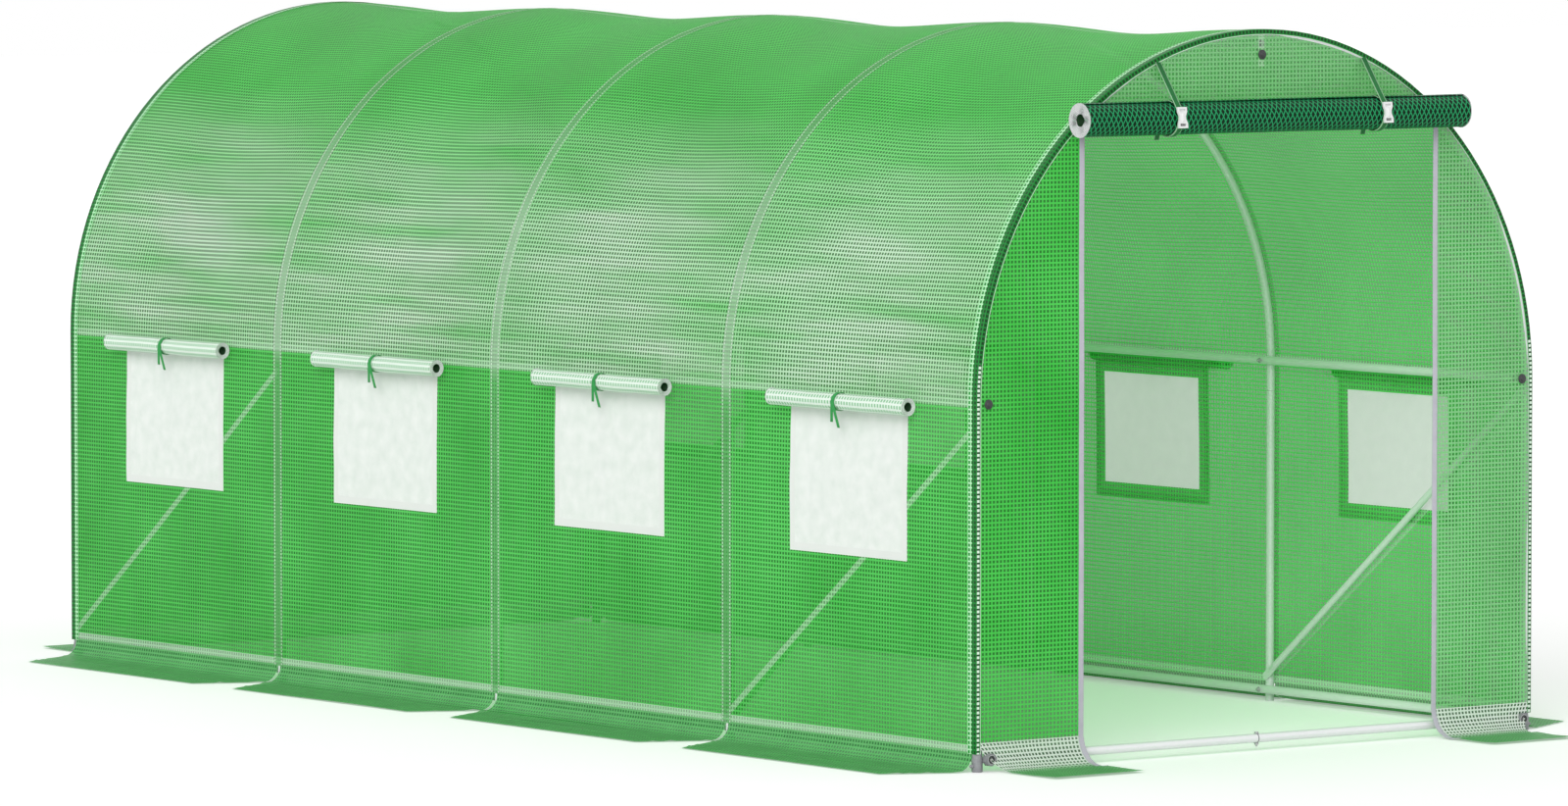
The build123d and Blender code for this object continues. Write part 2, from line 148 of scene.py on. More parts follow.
class Nodes:
    """The node tree of a material or of the world while it is put together."""

    def __init__(self, tree):
        self.tree = tree

    def node(self, kind, settings=None, inputs=None):
        """One node, its settings made first and then its sockets filled."""
        made = self.tree.nodes.new("ShaderNode" + kind)
        for key, value in (settings or {}).items():
            setattr(made, key, value)
        for key, value in (inputs or {}).items():
            self.fill(made.inputs[key], value)
        return made

    def fill(self, socket, value):
        """Puts a link, number or colour on a socket."""
        if isinstance(value, Wire):
            self.tree.links.new(value.socket, socket)
        elif socket.type == "RGBA":
            socket.default_value = (*value, 1.0)
        else:
            socket.default_value = value

    def read(self, kind, output, settings=None, inputs=None):
        """A wire from one output of a new node."""
        return Wire(self, self.node(kind, settings, inputs).outputs[output])


class Finish(Nodes):
    """A material while its nodes are put together."""

    def __init__(self, name, slot, **constants):
        self.material = bpy.data.materials.new(name)
        self.material.use_nodes = True
        super().__init__(self.material.node_tree)
        self.slot = slot
        self.shader = self.tree.nodes["Principled BSDF"]
        for words, value in constants.items():
            self.shader.inputs[words.title()].default_value = value

    def put(self, name, value):
        """Fills a socket of the main shader."""
        self.fill(self.shader.inputs[name], value)

    def split(self, vector):
        """The three numbers of a vector."""
        parts = self.node("SeparateXYZ", None, {0: vector})
        return [Wire(self, part) for part in parts.outputs]

    def flat(self):
        """The flat place on a piece of cloth, in metres along its two ways."""
        return self.split(self.read("UVMap", 0, {"uv_map": "cloth"}))[:2]

    def outside(self):
        """1 on the outer face of a sheet and 0 on its inner one."""
        return 1 - self.read("NewGeometry", "Backfacing")

    def place(self):
        """The place on the object."""
        return self.read("TexCoord", "Object")

    def paleness(self):
        """How pale the film is at a place, a number kept on the piece's own points: painted sheen, and on
        the seam bands also the paleness of doubled film.
        """
        return self.read("Attribute", "Fac", {"attribute_name": "pale"})

    def cloud(self, scale, detail, stretch=None):
        """Soft noise from 0 to 1."""
        where = self.place()
        if stretch:
            where = self.read("Mapping", 0, None, {"Vector": where, "Scale": stretch})
        return self.read("TexNoise", 0, None, {"Vector": where, "Scale": scale, "Detail": detail})

    def blend(self, share, first, second):
        """Two colours mixed."""
        return self.read("Mix", 2, {"data_type": "RGBA"}, {0: share, 6: first, 7: second})

    def let_light_through(self, colour, cover, share):
        """Makes thin film of the shader: it glows with the light behind it, and is clear in part."""
        glow = self.node("BsdfTranslucent", None, {"Color": colour})
        body = self.node("MixShader", None, {0: share})
        self.tree.links.new(self.shader.outputs[0], body.inputs[1])
        self.tree.links.new(glow.outputs[0], body.inputs[2])
        clear = self.node("BsdfTransparent")
        whole = self.node("MixShader", None, {0: cover})
        self.tree.links.new(clear.outputs[0], whole.inputs[1])
        self.tree.links.new(body.outputs[0], whole.inputs[2])
        self.tree.links.new(whole.outputs[0], self.tree.nodes["Material Output"].inputs[0])

    def bump(self, height, depth, strength):
        """Relief from a height."""
        sockets = {"Height": height, "Distance": depth, "Strength": strength}
        self.put("Normal", self.read("Bump", 0, None, sockets))


def threads(across, along, pitch, share):
    """1 on the threads of a square grid and 0 in its cells."""
    first = (across / pitch).fraction().under(share)
    second = (along / pitch).fraction().under(share)
    return first.most(second)


def on_brace(y, z, front):
    """1 on the line of the brace in the bay behind a hoop, 0 elsewhere."""
    slope = (BRACE_TOP - BRACE_FOOT) / PITCH
    off = (z - BRACE_TOP + (y - front) * slope) / hypot(1, slope)
    return off.within(-BRACE_SHOWS, BRACE_SHOWS) * y.within(front, front + PITCH)


def on_tubes(x, y, z):
    """How strongly a rail, brace or the ridge shows through the film that it touches, 0 elsewhere."""
    rails = (z.within(*BASE_SHOWS) * 2.0).most(z.within(*EAVES_SHOW))
    braces = on_brace(y, z, HOOPS[0]).most(on_brace(y, z, HOOPS[-2]))
    aside = x.unsigned()
    wall = aside.over(WALL_FROM) * z.under(WALL_TOP)
    return (rails.most(braces) * wall).most(aside.under(RIDGE_SHOWS) * z.over(ROOF_TOP))


def make_cover(name, cells, lighter):
    """Reinforced green film: pale threads over darker cells, which hide a share of what is behind, and a
    painted sheen that turns the threads white and the cells grey on its outer face.
    """
    made = Finish(name, "cover", roughness=0.42)
    across, along = made.flat()
    thread = threads(across, along, GRID, 0.4)
    patch = (made.cloud(2.6, 5.0) * 1.9 - 0.45).clamped()
    # Painted sheen: streaky whitening of the outer face, as strong as the piece's pale mark says.
    sheen_streaks = made.cloud(3.0, 4.0, (1.0, 0.5, 5.0))
    painted_sheen = made.paleness() * made.outside() * (sheen_streaks * 2.2 - 0.15)
    film = made.blend(patch, (0.0, 0.065, 0.002), (0.002, 0.15, 0.008))
    film = made.blend(painted_sheen * 0.5, film, (0.13, 0.2, 0.13))
    # The lighter number paints the threads paler or darker: painted light and shade on copies of one film.
    dull, lively = (0.08 + lighter, 0.52, 0.09 + lighter), (0.2 + lighter, 0.8, 0.22 + lighter)
    yarn = made.blend(painted_sheen.clamped(), made.blend(patch, dull, lively), (0.95, 0.98, 0.95))
    glow = made.blend(thread, (0.003, 0.5, 0.01), (0.05, 0.97, 0.1))
    x, y, z = made.split(made.place())
    contact = (on_tubes(x, y, z) * (0.3 + thread * 0.3)).clamped()
    ridge = ((z - 1.86) / 0.12).clamped()
    made.put("Base Color", made.blend(contact, made.blend(thread, film, yarn), (0.8, 0.95, 0.82)))
    made.put("Roughness", 0.38 + patch * 0.2)
    made.put("Specular IOR Level", 0.3)
    made.bump(thread, 0.0003, 0.5)
    made.let_light_through(glow, (cells + thread * (0.97 - cells)) * (1 - ridge * 0.06), 0.4)
    return made


def make_skirt_film():
    """The same film at the foot: creased and dull on the ground, and where it stands up a grid of white
    threads over near-black cells, painted as sheen.
    """
    made = Finish("skirt_film", "skirt", roughness=0.55)
    across, along = made.flat()
    thread = threads(across, along, GRID, 0.42)
    patch = made.cloud(9.0, 4.0)
    crease = made.cloud(14.0, 5.0, (5.0, 0.6, 1.0))
    film = made.blend(patch, (0.006, 0.13, 0.02), (0.016, 0.25, 0.045))
    yarn = made.blend(patch, (0.08, 0.48, 0.11), (0.16, 0.64, 0.19))
    lying = made.blend(thread, film, yarn)
    # Painted sheen where the film stands up: white threads over near-black cells.
    upright_sheen = made.blend(thread, (0.012, 0.09, 0.02), (0.88, 0.95, 0.88))
    tone = made.blend(made.paleness(), lying, upright_sheen)
    made.put("Base Color", tone)
    made.bump(crease, 0.004, 0.6)
    made.let_light_through(tone, 0.84 + thread * 0.12, 0.25)
    return made


def make_rolled():
    """Film wound on itself: deep green, with a teal lattice where its layers cross."""
    made = Finish("rolled_film", "cover_rolled", roughness=0.4)
    across, along = made.flat()
    first = ((across * 0.8 + along) / 0.0165).fraction().under(0.24)
    second = ((across * 0.8 - along) / 0.0165).fraction().under(0.24)
    lattice = first.most(second)
    film = made.blend(made.cloud(6.0, 3.0), (0.0002, 0.01, 0.003), (0.0006, 0.026, 0.008))
    made.put("Base Color", made.blend(lattice, film, (0.018, 0.33, 0.12)))
    made.put("Specular IOR Level", 0.12)
    made.bump(lattice, 0.0004, 0.6)
    return made


def make_roll_end():
    """The cut edges of wound film: pale rings with a grey line between the turns, and the sunk bore painted
    very dark green as shade.
    """
    made = Finish("wound_edges", "cover_rolled", roughness=0.6)
    outwards = made.flat()[1]
    line = (outwards / 0.0016).fraction().under(0.26)
    patch = made.cloud(160.0, 2.0)
    rings = made.blend(patch, (0.72, 0.74, 0.74), (0.92, 0.93, 0.93))
    rings = made.blend(line, rings, (0.34, 0.36, 0.37))
    # Painted shade: the sunk bore is coloured very dark green.
    bore = made.blend(patch, (0.002, 0.02, 0.004), (0.01, 0.06, 0.015))
    made.put("Base Color", made.blend(outwards.under(0.0), rings, bore))
    made.put("Specular IOR Level", 0.2)
    made.bump(line, 0.0006, 0.8)
    return made


def make_flap_film():
    """The rolled window flaps: white outside with a faint green grid."""
    made = Finish("flap_film", "cover_rolled", roughness=0.5)
    across, along = made.flat()
    thread = threads(across, along, GRID, 0.4)
    film = made.blend(made.cloud(7.0, 3.0), (0.2, 0.5, 0.26), (0.34, 0.62, 0.38))
    made.put("Base Color", made.blend(thread, film, (0.8, 0.92, 0.82)))
    made.bump(thread, 0.0003, 0.6)
    return made


def make_net():
    """Fine white insect net."""
    made = Finish("white_net", "mesh", roughness=0.8)
    across, along = made.flat()
    thread = threads(across, along, 0.0016, 0.6)
    patch = (made.cloud(26.0, 6.0) * 2.2 - 0.6).clamped()
    made.put("Base Color", made.blend(patch, (0.84, 0.88, 0.85), (0.97, 0.98, 0.97)))
    made.bump(thread, 0.0002, 0.4)
    made.let_light_through((0.95, 0.99, 0.95), 0.78 + thread * 0.2, 0.6 - made.outside() * 0.55)
    return made


def make_hem():
    """The folded white hem of a window's net."""
    made = Finish("white_hem", "mesh", roughness=0.7)
    across, along = made.flat()
    weave = threads(across, along, 0.0022, 0.5)
    tone = made.blend(made.cloud(9.0, 3.0), (0.84, 0.86, 0.84), (0.93, 0.94, 0.92))
    made.put("Base Color", made.blend(weave * 0.2, tone, (0.6, 0.66, 0.62)))
    made.bump(weave, 0.0002, 0.5)
    made.let_light_through((0.9, 0.95, 0.9), 0.94 + weave * 0.05, 0.6 - made.outside() * 0.55)
    return made


def make_band():
    """Doubled film over a hoop: paler, and paler still towards the eaves as painted sheen, with a dotted
    row of white stitches at each side.
    """
    made = Finish("seam_band", "cover", roughness=0.4)
    across, along = made.flat()
    thread = threads(across, along, GRID, 0.42)
    film = made.blend(thread, (0.02, 0.32, 0.04), (0.14, 0.7, 0.18))
    # Paler by the pale mark: partly the doubled film, and the rest painted sheen.
    film = made.blend(made.paleness(), film, (0.86, 0.93, 0.87))
    aside = across.unsigned()
    row = (aside - 0.0165).within(-0.0022, 0.0022)
    stitch = row * (along / 0.01).fraction().under(0.6)
    tone = made.blend(stitch.most(aside.over(0.0205) * 0.7), film, (0.88, 0.96, 0.88))
    made.put("Base Color", tone)
    made.bump(stitch, 0.0006, 0.7)
    made.let_light_through(tone, 0.5 + stitch * 0.5, 0.4)
    return made


def make_arch_hem():
    """Hem over an end hoop, painted dark green as shade over its fold, with light edges and, down its
    straight ends, a row of stitches.
    """
    made = Finish("arch_hem", "cover", roughness=0.42)
    across, along = made.flat()
    thread = threads(across, along, GRID, 0.35)
    # Painted shade: the hem is dark green over the fold and a little beyond it.
    dark = made.blend(made.cloud(8.0, 3.0), (0.0005, 0.03, 0.003), (0.002, 0.07, 0.01))
    dark = made.blend(thread, dark, (0.006, 0.24, 0.03))
    light = made.blend(thread, (0.01, 0.3, 0.03), (0.5, 0.88, 0.54))
    tone = made.blend(across.over(0.034), dark, light)
    straight = along.unsigned().over(HALF_ARC * 0.93)
    stitch = across.within(0.004, 0.0122) * (along / 0.0125).fraction().under(0.6) * straight
    made.put("Base Color", made.blend(stitch.most(across.under(0.0015)), tone, (0.75, 0.93, 0.77)))
    made.put("Specular IOR Level", 0.25)
    made.bump(stitch, 0.0006, 0.7)
    return made


def make_tape(name, slot, low, high, ribs, edge=None):
    """Woven tape with fine ribs across it, and a lighter edge from a given place outwards."""
    made = Finish(name, slot, roughness=0.75)
    across, along = made.flat()
    rib = (along / ribs).fraction().under(0.5)
    warp = (across / (ribs * 1.4)).fraction().under(0.5)
    weave = rib * 0.6 + warp * 0.4
    tone = made.blend(made.cloud(30.0, 3.0), low, high)
    tone = made.blend(weave * 0.25, tone, tuple(part * 0.55 for part in low))
    if edge:
        tone = made.blend(across.unsigned().over(edge) * 0.7, tone, (0.5, 0.8, 0.52))
    made.put("Base Color", tone)
    made.bump(weave, 0.0003, 0.7)
    return made


def make_steel(name, low, high, rough):
    """Galvanised steel: soft grey, with a faint spangle and cloudy patches."""
    made = Finish(name, "galvanised", metallic=0.15, roughness=rough)
    spangle = made.cloud(90.0, 2.0)
    patch = made.cloud(4.0, 4.0)
    made.put("Base Color", made.blend(spangle * 0.6 + patch * 0.4, low, high))
    made.put("Roughness", rough - 0.06 + patch * 0.14)
    made.bump(spangle, 0.0001, 0.3)
    return made


def make_plastic():
    """White moulded plastic of the buckles."""
    made = Finish("white_plastic", "buckle", roughness=0.35)
    patch = made.cloud(60.0, 2.0)
    made.put("Base Color", made.blend(patch, (0.82, 0.83, 0.83), (0.88, 0.89, 0.88)))
    made.put("Roughness", 0.3 + patch * 0.12)
    return made


# The front's right strip and gable get a clearer copy of the film with threads painted paler, as painted
# light; the left strip gets a copy painted a little darker, as painted shade.
FILM = make_cover("reinforced_film", 0.8, 0.0)
SHADED_STRIP_FILM = make_cover("shaded_strip_film", 0.78, -0.04)
CLEAR_LIT_FILM = make_cover("clear_lit_film", 0.42, 0.24)
SKIRT = make_skirt_film()
ROLLED = make_rolled()
ROLL_END = make_roll_end()
FLAP = make_flap_film()
NET = make_net()
HEM = make_hem()
BAND = make_band()
ARCH_HEM = make_arch_hem()
TAPE = make_tape("edge_tape", "tape", (0.52, 0.5, 0.58), (0.66, 0.64, 0.72), 0.002)
WEBBING = make_tape("dark_webbing", "webbing", (0.004, 0.13, 0.025), (0.01, 0.22, 0.045), 0.0024, 0.0078)
RIBBON = make_tape("green_ribbon", "webbing", (0.02, 0.3, 0.06), (0.04, 0.42, 0.1), 0.0018)
STEEL = make_steel("galvanised_tube", (0.84, 0.84, 0.87), (0.95, 0.95, 0.97), 0.38)
BOLT_STEEL = make_steel("bright_bolt", (0.42, 0.42, 0.44), (0.6, 0.6, 0.62), 0.3)
DARK = make_steel("dark_fitting", (0.02, 0.022, 0.024), (0.07, 0.072, 0.075), 0.45)
FITTING = make_steel("cast_fitting", (0.16, 0.165, 0.175), (0.4, 0.41, 0.43), 0.34)
PLASTIC = make_plastic()


# Making pieces
def finish_piece(piece, finish, replaces=()):
    """Gives a piece its material, hangs it on the root body, and hides the CAD parts that it replaces."""
    piece.data.materials.clear()
    piece.data.materials.append(finish.material)
    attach(piece, "root")
    if replaces:
        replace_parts(piece, *replaces)
    return piece


def cloth(name, finish, patches, replaces=(), pale=None):
    """A piece of sheet made of patches, each a grid of flat places with the point of each place."""
    points, faces, flats, marks = [], [], [], []
    for rows, columns, place, keep in patches:
        first = len(points)
        for row in rows:
            for column in columns:
                points.append(place(row, column))
                flats.append((row, column))
                marks.append(pale(row, column) if pale else 0.0)
        wide = len(columns)
        for i in range(len(rows) - 1):
            for j in range(wide - 1):
                if keep and not keep((rows[i] + rows[i + 1]) / 2, (columns[j] + columns[j + 1]) / 2):
                    continue
                corner = first + i * wide + j
                faces.append((corner, corner + 1, corner + wide + 1, corner + wide))
    mesh = bpy.data.meshes.new(name)
    mesh.from_pydata(points, [], faces)
    layer = mesh.uv_layers.new(name="cloth")
    for loop in mesh.loops:
        layer.data[loop.index].uv = flats[loop.vertex_index]
    # The pale mark: painted sheen, and on the seam bands the paleness of doubled film as well.
    mark = mesh.attributes.new("pale", "FLOAT", "POINT")
    for index, value in enumerate(marks):
        mark.data[index].value = value
    piece = bpy.data.objects.new(name, mesh)
    bpy.context.scene.collection.objects.link(piece)
    mesh.polygons.foreach_set("use_smooth", [True] * len(mesh.polygons))
    return finish_piece(piece, finish, replaces)


def lay_pattern(piece, rule):
    """Works out where the pattern lies at each corner, from its flat place and its point."""
    layer = piece.data.uv_layers["cloth"]
    for loop in piece.data.loops:
        point = piece.data.vertices[loop.vertex_index].co
        layer.data[loop.index].uv = rule(layer.data[loop.index].uv, point)


def select_only(piece):
    """Selects one object alone and makes it the active one."""
    bpy.ops.object.select_all(action="DESELECT")
    piece.select_set(True)
    bpy.context.view_layer.objects.active = piece


def soften(piece, width, segments=2):
    """Rounds the sharp edges of a piece and shades it smooth."""
    select_only(piece)
    bevel = piece.modifiers.new("edges", "BEVEL")
    bevel.width = width
    bevel.segments = segments
    bevel.limit_method = "ANGLE"
    bpy.ops.object.modifier_apply(modifier=bevel.name)
    bpy.ops.object.shade_smooth_by_angle(angle=0.7)


def steps(low, high, size, cuts=()):
    """Places from low to high, at most size apart, that take in every cut between them."""
    marks = sorted({low, high, *[cut for cut in cuts if low < cut < high]})
    places = []
    for a, b in zip(marks, marks[1:]):
        count = max(1, ceil((b - a) / size - 1e-6))
        places += [a + (b - a) * i / count for i in range(count)]
    return places + [high]


def limited(value):
    """A number held between 0 and 1."""
    return max(0.0, min(1.0, value))


def wave(a, b, c, depth):
    """Smooth unevenness of about a depth, from three numbers that say where."""
    return noise.noise(Vector((a, b, c))) * depth


# The cover, in one sheet over the hoops from the foot of one wall to the foot of the other
def slack(y):
    """0 at a hoop and 1 halfway between two."""
    return sin(pi * (y - HOOPS[0]) / PITCH) ** 2


def cover_point(y, s, lift=0.0):
    """The cover at y along the tunnel and s round it from the ridge, lifted off it."""
    if abs(s) <= HALF_ARC:
        turn = s / COVER
        out = Vector((sin(turn), 0, cos(turn)))
        base = Vector((0, y, SPRING)) + out * COVER
    else:
        side = 1 if s > 0 else -1
        out = Vector((side, 0, 0))
        base = Vector((side * COVER, y, SPRING - (abs(s) - HALF_ARC)))
    roof = limited((base.z - 0.75) / 0.5)
    dip = slack(y) * (0.005 + 0.017 * roof)
    rough = wave(y * 2.2, s * 3.1, 1.7, 0.0022) * roof
    pull = wave(y * 1.1, s * 9.0, 4.2, 0.0016) * slack(y)
    return base + out * (lift - dip + (rough + pull) * min(1.0, slack(y) * 3))


def wall_s(side, z):
    """The place round the cover of a height on a side wall."""
    return side * (HALF_ARC + SPRING - z)


def painted_haunch_sheen(y, s):
    """How strong the painted sheen on the roof is: most at the eaves, and nothing at the ridge or on the
    walls.
    """
    rise = abs(s) / HALF_ARC
    if rise > 1.005:
        return 0.0
    return limited((rise - 0.44) / 0.3) * (0.6 + 0.25 * slack(y))


def off_windows(y, s):
    """Whether a place on the cover is outside every window's opening."""
    height = SPRING - (abs(s) - HALF_ARC)
    beside = all(abs(y - window) >= WINDOW_HALF for window in WINDOWS)
    return beside or not WINDOW_LOW < height < WINDOW_HIGH


FOOT = wall_s(1, 0.05)
window_cuts = [y + edge for y in WINDOWS for edge in (-WINDOW_HALF, WINDOW_HALF)]
wall_heights = (WINDOW_LOW, WINDOW_HIGH, SPRING - 0.012, SPRING)
height_cuts = [wall_s(side, z) for side in SIDES.values() for z in wall_heights]
cover_rows = steps(-END, END, 0.045, window_cuts + HOOPS)
cover_columns = steps(-FOOT, FOOT, 0.05, height_cuts)
# The cover carries a painted sheen towards the eaves, kept on its points as the pale mark.
cover = cloth(
    "cover_sheet",
    FILM,
    [(cover_rows, cover_columns, cover_point, off_windows)],
    ("roof_sheet", "left_wall", "right_wall"),
    painted_haunch_sheen,
)

# Seam bands over the middle hoops, and hems over the end ones
BAND_WAYS = [-0.022, -0.008, 0.008, 0.022]
HEM_WAYS = [0.0, 0.005, 0.01, 0.014, 0.0175, 0.023, 0.037, 0.052]
HEM_FOLD = 0.014
HEM_OUT = 0.0014
HEM_IN = 0.0135
round_cover = steps(-FOOT, FOOT, 0.05)
for number, hoop in enumerate(HOOPS[1:-1], start=2):
    band = cloth(
        f"seam_band_{number}",
        BAND,
        [(BAND_WAYS, round_cover, lambda w, s, y=hoop: cover_point(y + w, s, 0.0012), None)],
        # A set paleness for the doubled film, and painted sheen that grows towards the eaves.
        pale=lambda w, s: 0.18 + 0.85 * painted_haunch_sheen(0.0, s),
    )


def hem_point(out, w, s):
    """A hem that comes over the edge of the cover and a little way down the end sheet."""
    if w > HEM_FOLD:
        return cover_point(out * (END + HEM_OUT - (w - HEM_FOLD)), s, LAYER)
    edge = cover_point(out * END, s, LAYER)
    inner = cover_point(out * END, s, -HEM_IN)
    return inner.lerp(edge, w / HEM_FOLD) + Vector((0, out * HEM_OUT, 0))


for word, out in ENDS.items():
    columns = round_cover if out < 0 else round_cover[::-1]
    hem = cloth(
        f"{word}_arch_hem", ARCH_HEM, [(HEM_WAYS, columns, lambda w, s, o=out: hem_point(o, w, s), None)]
    )


# End sheets, each with a flare and a flap at its foot
FLARE = 0.08
FLAP_FLAT = 0.19
FLARE_END = FLAP_FLAT + pi / 2 * FLARE
LYING = 0.0025
STRIP_EDGE = 0.998
CORNER_FROM = 0.8
CORNER_PULL = 0.058


def end_point(out, x, v):
    """A place on an end sheet, v from the outer edge of its ground flap."""
    if v < FLAP_FLAT:
        curl = (1 - v / FLAP_FLAT) ** 2
        ripple = wave(x * 7, v * 6, 3.1 + out, 0.008) * (v / FLAP_FLAT) * (1 - curl)
        return Vector((x, out * (END + FLARE + FLAP_FLAT - v), LYING + max(0.0, ripple) + 0.004 * curl))
    if v < FLARE_END:
        turn = (v - FLAP_FLAT) / FLARE
        reach = FLARE - FLARE * sin(turn) + wave(x * 8, v * 9, 5.3 + out, 0.003)
        return Vector((x, out * (END + reach), FLARE * (1 - cos(turn)) + LYING))
    height = FLARE + v - FLARE_END
    taut = wave(x * 4, height * 2.5, 8.3 + out, 0.0025) * min(1.0, (height - FLARE) / 0.2)
    return Vector((x, out * (END + taut - 0.0006), height))


def end_sheet(name, finish, out, low, high, foot, replaces):
    """An end sheet between two x places, from a foot up to the arch."""
    xs = steps(low, high, 0.03)

    def place(t, x):
        arch = SPRING + sqrt(max(0.0, (COVER - 0.001) ** 2 - x * x))
        return end_point(out, x, foot + (FLARE_END + arch - FLARE - foot) * t)

    patch = (steps(0.0, 1.0, 1 / 60), xs if out < 0 else xs[::-1], place, None)
    piece = cloth(name, finish, [patch], replaces)
    lay_pattern(piece, lambda flat, point: (point.x, point.z))
    return piece


for word, side in SIDES.items():
    low, high = sorted((side * STRIP_EDGE, side * DOOR_HALF))
    film = SHADED_STRIP_FILM if side < 0 else CLEAR_LIT_FILM
    strip = end_sheet(f"front_{word}_strip", film, -1, low, high, FLARE_END, [f"front_{word}_sheet"])

door_head = FLARE_END + DOOR_TOP - FLARE
gable = end_sheet("front_gable", CLEAR_LIT_FILM, -1, -DOOR_HALF, DOOR_HALF, door_head, ["front_gable_sheet"])
rear = end_sheet("rear_end_sheet", FILM, 1, -STRIP_EDGE, STRIP_EDGE, FLARE_END, ["rear_sheet"])


def flare_sheen(v, x):
    """1 on the flare, which stands up and takes the painted sheen, and 0 on the flap that lies on the
    ground.
    """
    return limited((v - FLAP_FLAT - 0.012) / 0.02)


def tucked(out, v, x):
    """A place on a foot flap, whose corners draw in past the fitting below the leg."""
    near_corner = max(0.0, (abs(x) - CORNER_FROM) / (STRIP_EDGE - CORNER_FROM))
    pull = CORNER_PULL * min(1.0, (FLARE_END - v) / 0.1) * near_corner
    return end_point(out, x - pull * (1 if x > 0 else -1), v)


flare_rows = steps(0.0, FLARE_END, 0.02, [FLAP_FLAT])
front_patches = []
for side in SIDES.values():
    xs = steps(*sorted((side * STRIP_EDGE, side * DOOR_HALF)), 0.03)
    front_patches.append((flare_rows, xs, lambda v, x: tucked(-1, v, x), None))
front_foot = cloth("front_foot_flaps", SKIRT, front_patches, ["front_skirt"], flare_sheen)
rear_xs = steps(-STRIP_EDGE, STRIP_EDGE, 0.03)[::-1]
rear_patch = (flare_rows, rear_xs, lambda v, x: tucked(1, v, x), None)
rear_foot = cloth("rear_foot_flap", SKIRT, [rear_patch], ["rear_skirt"], flare_sheen)

# Side skirts, one flap to a bay
SIDE_CURVE = 0.045
SIDE_TOP = 0.052
SIDE_UPRIGHT = SIDE_TOP - SIDE_CURVE
SIDE_FLAT = 0.195
SIDE_TURN = SIDE_UPRIGHT + pi / 2 * SIDE_CURVE
SIDE_GAP = 0.008
CUT_BACK = 0.1


def skirt_point(side, start, end, v, t):
    """A place on a side flap, v down and out from the wall's foot and t along it."""
    if v < SIDE_UPRIGHT:
        out, height = 0.0, SIDE_TOP - v
    elif v < SIDE_TURN:
        turn = (v - SIDE_UPRIGHT) / SIDE_CURVE
        out, height = SIDE_CURVE * (1 - cos(turn)), SIDE_CURVE * (1 - sin(turn))
    else:
        out, height = SIDE_CURVE + v - SIDE_TURN, 0.0
    spread = max(0.0, out - SIDE_CURVE) / SIDE_FLAT
    y = start + CUT_BACK * spread + (end - start - 2 * CUT_BACK * spread) * t
    folds = wave(out * 38, y * 1.3, side * 2.0, 0.009) * min(1.0, out / SIDE_CURVE)
    lift = max(0.0, folds) * (1 - 0.6 * spread)
    return Vector((side * (COVER + out), y, height + LYING + lift))


skirt_rows = steps(0.0, SIDE_TURN + SIDE_FLAT, 0.016, [SIDE_UPRIGHT, SIDE_TURN])
along_bay = steps(0.0, 1.0, 1 / 40)
for word, side in SIDES.items():
    columns = along_bay if side < 0 else along_bay[::-1]
    patches = []
    for a, b in zip(HOOPS, HOOPS[1:]):

        def place(v, t, side=side, start=a + SIDE_GAP, end=b - SIDE_GAP):
            return skirt_point(side, start, end, v, t)

        patches.append((skirt_rows, columns, place, None))
    # The top of each side flap, where it stands by the base rail, gets the painted sheen.
    skirt = cloth(
        f"{word}_skirt_flaps", SKIRT, patches, [f"{word}_skirt"], lambda v, t: max(0.0, 0.12 - v * 4)
    )
    lay_pattern(skirt, lambda flat, point: (point.y, flat[0]))

# Window screens with their hems
SCREEN_OVER = 0.044
HEM_WIDTH = 0.022


def pane_point(y, s):
    """A place on a net, which lies on the cover."""
    return cover_point(y, s, LAYER)


def border_point(y, s):
    """A place on a net's hem, a little wavy and proud of the net."""
    return cover_point(y, s, 0.0034 + wave(y * 14, s * 14, 2.2, 0.0014))


for word, side in SIDES.items():
    panes, borders = [], []
    edges = (wall_s(side, WINDOW_LOW - SCREEN_OVER), wall_s(side, WINDOW_HIGH + SCREEN_OVER))
    low, high = sorted(edges)
    ss = steps(low, high, 0.03, [low + HEM_WIDTH, high - HEM_WIDTH])
    for middle in WINDOWS:
        start, end = middle - WINDOW_HALF - SCREEN_OVER, middle + WINDOW_HALF + SCREEN_OVER
        ys = steps(start, end, 0.03, [start + HEM_WIDTH, end - HEM_WIDTH])

        def rim(y, s, start=start, end=end, low=low, high=high):
            inside = start + HEM_WIDTH < y < end - HEM_WIDTH
            return not (inside and low + HEM_WIDTH < s < high - HEM_WIDTH)

        panes.append((ys, ss, pane_point, None))
        borders.append((ys, ss, border_point, rim))
    net = cloth(f"{word}_nets", NET, panes, [f"{word}_window_screens"])
    border = cloth(f"{word}_net_hems", HEM, borders)

# Rolls: the window flaps and the door, wound from their cut lengths
FLAP_TURNS = 3.75
FLAP_BORE = 0.013
FLAP_HALF = 0.3075
FLAP_LENGTH = 0.45
DOOR_TURNS = 9.3
DOOR_BORE = 0.017
DOOR_ROLL_HALF = 0.685
DOOR_LENGTH = 1.9
DOOR_CENTRE = (0, ROLL_Y, ROLL_Z)


def around(centre, axis, along, angle, radius):
    """A place round the middle line of a roll that lies along x or y."""
    a, b = radius * cos(angle), radius * sin(angle)
    if axis == "x":
        return Vector((along, centre[1] + a, centre[2] + b))
    return Vector((centre[0] + a, along, centre[2] + b))


def roll_steps(turns):
    """Even steps round a wound sheet, from 0 at its inner end to 1 at its outer one."""
    count = int(turns * 26)
    return [i / count for i in range(count + 1)]


